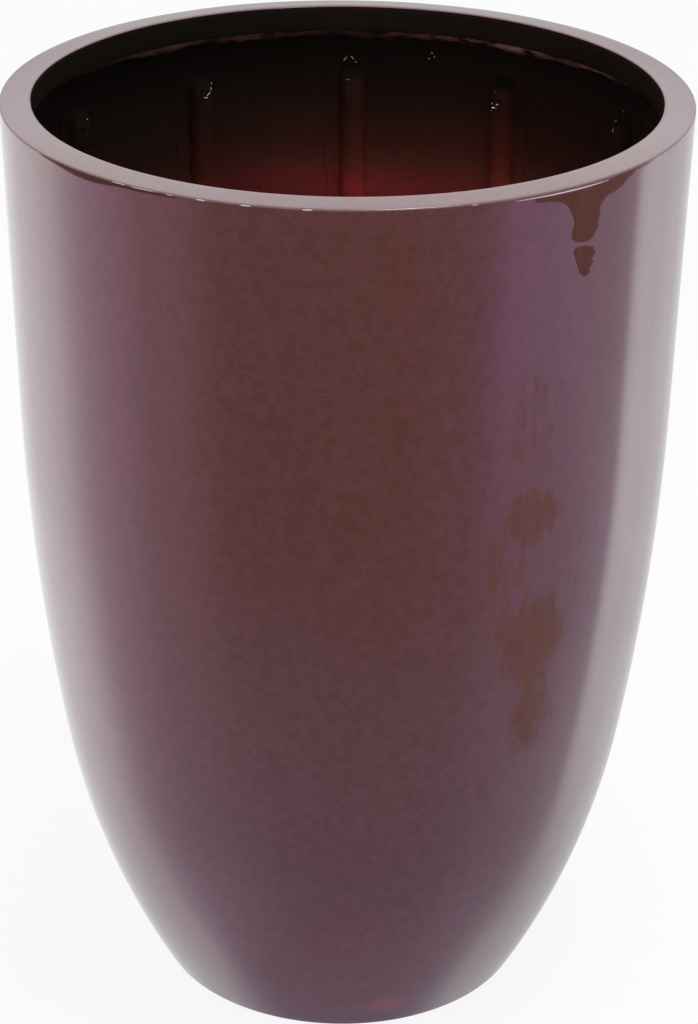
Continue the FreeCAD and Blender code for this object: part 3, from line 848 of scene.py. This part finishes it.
def make_nibs(name, spots, material, draw):
    """Small irregular beads on the inside.

    A spot is a bearing, a height, a half width in mm, the lift it sits at, its length to width, and its tilt.
    """
    verts, faces = [], []
    rings, sides = 4, 9
    for bearing, height, size, seat, long_way, tilt in spots:
        radius, _ = wall_at(height, WALL)
        dents = [draw.uniform(0.6, 1.2) for _ in range(sides)]
        first = len(verts)
        for ring in range(rings):
            slope = math.pi / 2 * ring / rings
            for side in range(sides):
                a = TURN * side / sides
                x = size * MM * math.cos(slope) * math.cos(a) * long_way * dents[side]
                y = size * MM * math.cos(slope) * math.sin(a) * dents[side]
                across = x * math.cos(tilt) - y * math.sin(tilt)
                up = x * math.sin(tilt) + y * math.cos(tilt)
                lift = seat + 0.8 * size * MM * math.sin(slope) - 0.6 * MM * (ring == 0)
                verts.append(on_wall(bearing + across / radius, height + up, lift))
        verts.append(on_wall(bearing, height, seat + 0.8 * size * MM))
        faces += [(b, a, d, c) for a, b, c, d in ring_quads(first, rings, sides)]
        top = first + (rings - 1) * sides
        for side in range(sides):
            faces.append((top + (side + 1) % sides, top + side, first + rings * sides))
        faces.append(tuple(first + side for side in range(sides)))
    piece = make_piece(name, verts, faces, [material], sharp=80)


def inside_lift(bearing, height):
    """How far the laid-up surface stands off the wall, on a tape or beside it."""
    number = round((bearing - RIB_START) / TURN * RIB_COUNT) % RIB_COUNT + 1
    turn = (bearing - rib_bearing(number) + math.pi) % TURN - math.pi
    offset = turn * wall_at(height, WALL)[0]
    on_tape = abs(offset) < tape_half(number, height, 1 if offset > 0 else -1)
    return max(tape_lift(number, offset, height), 0.0) if on_tape else 0.0


# Pale chips at the rib heads, painted glints: degrees right of the front, millimetres below the rim, half
# length, half width and tilt in degrees
GLINT_CHIPS = [
    (180.6, 46.5, 2.52, 0.45, 125), (179.2, 45.2, 2.24, 0.4, 50), (178.5, 48.5, 1.26, 0.35, 30),
    (208.2, 64.5, 2.38, 0.5, 140), (207.5, 61.0, 1.54, 0.45, 80), (208.8, 67.0, 1.82, 0.4, 10),
    (207.1, 57.5, 1.12, 0.3, 90), (150.1, 72.6, 4.76, 0.8, 175), (149.5, 69.6, 1.96, 0.45, 160),
    (150.8, 70.4, 1.4, 0.4, 20), (151.2, 76.5, 1.12, 0.3, 90), (164.1, 38.2, 1.26, 0.3, 60),
    (163.6, 41.0, 1.12, 0.3, 100), (164.6, 43.0, 0.84, 0.25, 20), (120.1, 49.8, 0.7, 0.35, 90),
    (119.9, 56.0, 0.84, 0.3, 90), (119.7, 63.0, 2.52, 0.3, 88), (238.2, 60.0, 0.7, 0.35, 0),
    (236.6, 84.0, 0.98, 0.4, 30),
]


def make_resin_nibs():
    """Beads of resin and strand ends on the inside, and a few pale chips at the rib heads that are painted
    glints.
    """
    draw = random.Random(7)

    def stray(bearing, height, size):
        seat = inside_lift(bearing, height)
        return bearing, height, size, seat, draw.uniform(1.0, 3.2), draw.uniform(0, math.pi)

    spots = []
    for number in range(1, RIB_COUNT + 1):
        for _ in range(7):
            bearing = rib_bearing(number) + draw.gauss(0, 8 * MM) / RIM_RADIUS
            spots.append(stray(bearing, TAPE_HEAD + draw.uniform(-0.035, 0.002), draw.uniform(0.5, 1.2)))
        for _ in range(9):
            bearing = rib_bearing(number) + draw.uniform(0.12, 0.4)
            spots.append(stray(bearing, draw.uniform(0.45, 0.65), draw.uniform(0.3, 0.8)))
    make_nibs("resin_nibs", spots, INSIDE, draw)
    # Painted glints: pale chips at the rib heads, at the listed places and a few more on ribs six to twelve.
    glint_chips = []
    for degrees, drop, half_length, half_width, tilt in GLINT_CHIPS:
        bearing, height = math.radians(degrees - 90), RIM_EDGE - drop * MM
        seat = inside_lift(bearing, height)
        glint_chips.append((bearing, height, half_width, seat, half_length / half_width, math.radians(tilt)))
    for number in range(6, RIB_COUNT + 1):
        middle = rib_bearing(number) + draw.gauss(0, 0.02)
        height = CORE_HEAD - draw.uniform(-8, 12) * MM
        for _ in range(draw.randint(1, 4)):
            bearing = middle + draw.gauss(0, 0.01)
            glint_chips.append(stray(bearing, height + draw.gauss(0, 2.5 * MM), draw.uniform(0.2, 0.5)))
    make_nibs("resin_chips_painted_glints", glint_chips, PALE_GLINT, draw)


def smooth_outline(points, steps=6):
    """A closed outline drawn smoothly through its points."""
    points = np.array(points, float)
    outline = []
    for k in range(len(points)):
        p0, p1, p2, p3 = (points[(k + j) % len(points)] for j in (-1, 0, 1, 2))
        for s in range(steps):
            t = s / steps
            outline.append(0.5 * (2 * p1 + (p2 - p0) * t + (2 * p0 - 5 * p1 + 4 * p2 - p3) * t ** 2
                                  + (3 * p1 - p0 - 3 * p2 + p3) * t ** 3))
    return np.array(outline)


def make_run(name, outline, thickness, ragged_from=90.0, mesh_size=2.0 * MM):
    """A run of lacquer on the outer wall, ragged beyond a bearing in degrees."""
    edge_round, edge_shy, bury = 2 * MM, 0.02 * MM, 0.6 * MM
    edge = smooth_outline([(math.radians(b) * RIM_RADIUS, RIM_EDGE - drop * MM) for b, drop in outline])
    draw = random.Random(name)
    for spot in edge:
        if spot[0] > math.radians(ragged_from) * RIM_RADIUS:
            spot[0] += draw.uniform(-1.3, 0.9) * MM
    low, high = edge.min(0), edge.max(0)
    across, up = (np.arange(low[k], high[k], mesh_size) for k in (0, 1))
    grid = np.array([(x, z) for x in across for z in up])
    gap = np.linalg.norm(grid[:, None] - edge[None], axis=2).min(1)
    points = [Vector(p) for p in edge] + [Vector(p) for p in grid[gap > 0.6 * mesh_size]]
    links = [(k, (k + 1) % len(edge)) for k in range(len(edge))]
    flat, _, triangles, *_ = geometry.delaunay_2d_cdt(points, links, [], 1, 1e-7)
    spots = np.array([tuple(p) for p in flat])
    away = np.linalg.norm(spots[:, None] - edge[None], axis=2).min(1)
    verts = []
    for side in (1, -1):
        for (x, z), d in zip(spots, away):
            swell = thickness * math.sqrt(1 - (1 - min(d / edge_round, 1)) ** 2)
            radius = wall_at(z)[0] + (swell - edge_shy if side > 0 else -bury)
            bearing = x / RIM_RADIUS
            verts.append((radius * math.sin(bearing), -radius * math.cos(bearing), z))
    count = len(spots)
    faces = [tuple(t) for t in triangles] + [tuple(count + k for k in reversed(t)) for t in triangles]
    uses = {}
    for t in triangles:
        for a, b in zip(t, t[1:] + t[:1]):
            uses.setdefault(frozenset((a, b)), []).append((a, b))
    faces += [(b, a, count + a, count + b) for pairs in uses.values() if len(pairs) == 1 for a, b in pairs]
    piece = make_piece(name, verts, faces, [RUN], sharp=70)


# Outlines of the runs: degrees right of the front, and millimetres below the rim
RIGHT_RUN = [
    (24.5, 3.0), (27.0, 4.6), (30.0, 6.0), (32.5, 7.4), (34.4, 9.2), (35.8, 13.2), (36.5, 18.0), (37.2, 25.5),
    (36.9, 32.5), (37.1, 37.0), (38.2, 39.7), (39.9, 40.8), (41.4, 39.3), (42.2, 34.0), (42.5, 28.4),
    (42.7, 22.6), (43.1, 16.9), (44.0, 13.8), (45.6, 12.4), (47.4, 10.6), (48.8, 7.2), (50.6, 4.3),
    (53.0, 2.7), (56.5, 1.7), (51.0, 1.6), (46.5, 1.6), (43.0, 2.6), (39.8, 3.3), (37.0, 3.6), (33.5, 3.4),
    (30.5, 2.9), (27.5, 2.6),
]
RIGHT_DROP = [
    (37.5, 45.2), (38.2, 43.3), (40.0, 44.0), (41.7, 46.6), (42.1, 51.0), (41.7, 54.0), (41.5, 59.7),
    (41.0, 64.7), (40.1, 65.6), (39.1, 62.2), (38.3, 55.4), (37.8, 50.2),
]
LEFT_RUN = [
    (-56.5, 1.5), (-52.2, 2.7), (-49.6, 3.8), (-46.9, 5.0), (-44.3, 5.5), (-42.0, 5.4), (-39.8, 4.7),
    (-37.3, 3.6), (-34.8, 3.2), (-31.9, 3.1), (-29.0, 2.8), (-26.0, 2.1), (-29.0, 1.1), (-34.0, 1.1),
    (-40.0, 1.1), (-46.0, 1.1), (-51.0, 1.1),
]

# Pale ridges and nicks on the rim's edge, painted highlights: degrees right of the front from and to,
# millimetres below the rim at both ends, and half width in millimetres
EDGE_GLINTS = [(26.0, 44.8, 2.3, 2.6, 0.35), (-38.3, -35.6, 0.95, 0.9, 0.45), (-34.6, -30.2, 0.9, 0.8, 0.3)]
EDGE_GLINTS += [(middle - 0.85, middle + 0.85, 0.9, 0.9, 0.45) for middle in (-22.3, -15.2, -5.8)]
EDGE_GLINTS += [(middle - 0.5, middle + 0.5, 1.0, 1.0, 0.25) for middle in (-27.6, 19.4)]


def make_edge_glints():
    """Thin pale ridges and nicks along the rim's outer edge, whose pale colour paints the highlights there.
    """
    sides = 8
    verts, faces = [], []
    for start, end, start_drop, end_drop, half_width in EDGE_GLINTS:
        steps = max(int((end - start) * 3), 6)
        first = len(verts)
        for i in range(steps + 1):
            t = i / steps
            bearing = math.radians(start + (end - start) * t)
            height = RIM_EDGE - (start_drop + (end_drop - start_drop) * t) * MM
            girth = half_width * MM * max(2 * math.sqrt(t * (1 - t)), 0.05)
            reach = wall_at(height)[0]
            for k in range(sides):
                a = TURN * k / sides
                r = min(reach + girth * math.cos(a), RIM_RADIUS - RIM_SHY)
                verts.append((r * math.sin(bearing), -r * math.cos(bearing), height + girth * math.sin(a)))
        faces += [(a, d, c, b) for a, b, c, d in ring_quads(first, steps + 1, sides)]
        faces.append(tuple(first + k for k in range(sides)))
        faces.append(tuple(first + steps * sides + k for k in reversed(range(sides))))
    piece = make_piece("edge_glints_painted", verts, faces, [PALE_GLINT], sharp=80)


def make_pads():
    """Six rubber pads with rounded feet, one mesh."""
    rings = round_corner((0, 0), (PAD_RADIUS - PAD_DRAFT, 0), (PAD_RADIUS, BASE), PAD_FOOT_ROUND, 4)
    rings += round_corner((PAD_RADIUS - PAD_DRAFT, 0), (PAD_RADIUS, BASE), (0, BASE), PAD_HEAD_ROUND, 3)
    sides = 40
    verts, faces = [], []
    for pad in range(PAD_COUNT):
        angle = TURN * pad / PAD_COUNT
        centre = (BASE_RADIUS - PAD_INSET) * np.array([math.cos(angle), math.sin(angle)])
        first = len(verts)
        for radius, z in rings:
            for k in range(sides):
                a = TURN * k / sides
                verts.append((centre[0] + radius * math.cos(a), centre[1] + radius * math.sin(a), z))
        faces += ring_quads(first, len(rings), sides)
        faces.append(tuple(first + k for k in reversed(range(sides))))
        faces.append(tuple(first + (len(rings) - 1) * sides + k for k in range(sides)))
    piece = make_piece("rubber_pads", verts, faces, [RUBBER], sharp=50)
    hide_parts("foot_pads")


def dress_hidden_nodes():
    """The hoop in the rim and the battens in the ribs keep their solids and get their wood."""
    for name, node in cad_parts.items():
        if name == "rim_hoop" or name.startswith("rib_core"):
            node.data.materials.clear()
            node.data.materials.append(HOOP if name == "rim_hoop" else BATTEN)


make_pot_wall()
make_rim_ring()
make_rim_bead()
make_floor_disc()
make_floor_bead()
for tape_number in range(1, RIB_COUNT + 1):
    make_rib_tape(tape_number)
make_resin_nibs()
make_run("right_run", RIGHT_RUN, 0.25 * MM, ragged_from=42.0)
make_run("right_drop", RIGHT_DROP, 0.3 * MM, ragged_from=41.0)
make_run("left_run", LEFT_RUN, 0.2 * MM, mesh_size=0.7 * MM)
make_edge_glints()
make_pads()
dress_hidden_nodes()


# Floor, light and camera

def make_floor():
    """A pale floor that the camera sees almost white, with the pot's shadow on it."""
    half = 9.0
    mesh = bpy.data.meshes.new("floor")
    corners = [(-half, -half, 0), (half, -half, 0), (half, half, 0), (-half, half, 0)]
    mesh.from_pydata(corners, [], [(0, 1, 2, 3)])
    material = bpy.data.materials.new("pale_floor")
    material.use_nodes = True
    material.node_tree.nodes.clear()
    nodes = Nodes(material.node_tree)
    matt = nodes.add("ShaderNodeBsdfDiffuse", Color=(0.86, 0.86, 0.86, 1)).outputs[0]
    white = nodes.add("ShaderNodeEmission", Color=(1, 1, 1, 1), Strength=1.0).outputs[0]
    seen = nodes.math("MULTIPLY", nodes.add("ShaderNodeLightPath").outputs["Is Camera Ray"], 0.9)
    nodes.add("ShaderNodeOutputMaterial", Surface=nodes.mix(seen, matt, white))
    mesh.materials.append(material)
    floor = bpy.data.objects.new("floor", mesh)
    bpy.context.scene.collection.objects.link(floor)
    floor.visible_glossy = False


# What the gloss mirrors round the pot, level and then lower: degrees right of the front, and light there
SURROUND = [
    (-180, (0.9, 0.9, 0.9)), (-158, (1.15, 1.15, 1.17)), (-141, (1.45, 1.42, 1.44)),
    (-126, (1.98, 1.88, 1.95)), (-115, (2.2, 2.06, 2.19)), (-106, (1.95, 1.7, 2.0)),
    (-98, (1.68, 1.34, 1.72)), (-83, (1.5, 1.01, 1.54)), (-76, (1.22, 0.9, 1.27)),
    (-70, (1.05, 0.72, 0.98)), (-58, (1.02, 0.65, 0.91)), (-52, (0.78, 0.5, 0.68)),
    (-42, (0.36, 0.27, 0.33)), (-30, (0.26, 0.21, 0.25)), (20, (0.3, 0.18, 0.18)),
    (44, (0.46, 0.3, 0.52)), (49, (0.57, 0.46, 0.9)), (56, (1.1, 0.71, 1.5)),
    (62, (1.12, 0.78, 1.6)), (80, (1.02, 0.9, 1.55)), (92, (0.95, 0.83, 1.22)),
    (104, (0.82, 0.8, 1.12)), (109.5, (0.98, 0.93, 1.2)), (114, (2.1, 2.12, 2.26)),
    (118, (2.25, 2.28, 2.42)), (131, (1.5, 1.5, 1.58)), (147, (1.02, 1.02, 1.06)),
    (165, (0.85, 0.85, 0.87)), (180, (0.9, 0.9, 0.9)),
]
LOWER_SURROUND = [
    (-180, (0.65, 0.66, 0.67)), (-150, (0.9, 0.93, 0.95)), (-128, (1.2, 1.17, 1.25)),
    (-112, (1.38, 1.3, 1.46)), (-100, (1.12, 1.03, 1.3)), (-86, (0.86, 0.8, 1.12)),
    (-72, (0.74, 0.74, 1.04)), (-50, (0.6, 0.63, 0.92)), (-30, (0.38, 0.47, 0.77)),
    (0, (0.29, 0.4, 0.66)), (40, (0.32, 0.43, 0.69)), (60, (0.4, 0.51, 0.76)),
    (78, (0.58, 0.6, 0.88)), (94, (0.6, 0.65, 0.86)), (106, (0.8, 0.8, 0.98)),
    (120, (1.05, 1.07, 1.2)), (140, (0.92, 0.95, 1.0)), (160, (0.66, 0.67, 0.69)),
    (180, (0.65, 0.66, 0.67)),
]
# Light from above, by height, and light from the floor close by
OVERHEAD = [(0.2, (0.85, 0.91, 0.95)), (0.34, (1.45, 1.52, 1.6)), (1.0, (2.05, 2.05, 2.1))]
FLOOR_GLOW = (0.5, 0.46, 0.65)


def make_surroundings():
    """White for the camera, a soft grey for the shading and the rings of light for the gloss."""
    world = bpy.data.worlds.new("studio")
    bpy.context.scene.world = world
    world.use_nodes = True
    world.node_tree.nodes.clear()
    nodes = Nodes(world.node_tree)
    direction = nodes.add("ShaderNodeTexCoord").outputs["Generated"]
    backward = nodes.math("MULTIPLY", nodes.part(direction, "Y"), -1.0)
    bearing = nodes.math("ARCTAN2", nodes.part(direction, "X"), backward)
    share = nodes.math("ADD", nodes.math("DIVIDE", bearing, TURN), 0.5)
    level, low = (nodes.ramp(share, [(degrees / 360 + 0.5, colour) for degrees, colour in stops])
                  for stops in (SURROUND, LOWER_SURROUND))
    rise = nodes.part(direction, "Z")
    mirrored = nodes.blend(nodes.span(rise, -0.42, -0.78), level, low)
    mirrored = nodes.blend(nodes.span(rise, -0.85, -0.975), mirrored, FLOOR_GLOW)
    mirrored = nodes.blend(nodes.span(rise, -0.03, 0.1), mirrored, nodes.ramp(rise, OVERHEAD))
    gloss, soft, white = (nodes.add("ShaderNodeBackground", Color=colour, Strength=1.0).outputs[0]
                          for colour in (mirrored, (0.72, 0.72, 0.72, 1), (1, 1, 1, 1)))
    ray = nodes.add("ShaderNodeLightPath").outputs
    lit = nodes.mix(ray["Is Glossy Ray"], soft, gloss)
    nodes.add("ShaderNodeOutputWorld", Surface=nodes.mix(ray["Is Camera Ray"], lit, white))


def make_lamp(name, place, aim, size, power):
    light = bpy.data.lights.new(name, "AREA")
    light.shape, light.size, light.energy = "SQUARE", size, power
    lamp = bpy.data.objects.new(name, light)
    lamp.location = place
    lamp.rotation_euler = (Vector(aim) - Vector(place)).to_track_quat("-Z", "Y").to_euler()
    lamp.visible_camera = False
    bpy.context.scene.collection.objects.link(lamp)


def make_camera():
    """The photograph's camera: in front, above the rim, looking down and a little rolled."""
    image_height, focal = 1024, 2876.0
    distance, rise = 1.96, 0.607
    yaw, pitch, roll = math.radians(0.107), math.radians(25.49), math.radians(0.53)
    forward = Vector((math.sin(yaw) * math.cos(pitch), math.cos(yaw) * math.cos(pitch), -math.sin(pitch)))
    level = Vector((math.cos(yaw), -math.sin(yaw), 0))
    upright = level.cross(forward)
    right = level * math.cos(roll) + upright * math.sin(roll)
    up = upright * math.cos(roll) - level * math.sin(roll)
    data = bpy.data.cameras.new("camera")
    data.sensor_width = 36.0
    data.lens = focal / image_height * data.sensor_width
    camera = bpy.data.objects.new("camera", data)
    turn = Matrix((right, up, -forward)).transposed().to_4x4()
    camera.matrix_world = Matrix.Translation((0, -distance, RIM_EDGE + rise)) @ turn
    bpy.context.scene.collection.objects.link(camera)
    bpy.context.scene.camera = camera


make_floor()
make_surroundings()
make_lamp("overhead_lamp", (0.42, -0.4, 2.7), (0, 0, 0.4), 0.6, 22)
make_camera()
bpy.context.scene.view_settings.view_transform = "Standard"
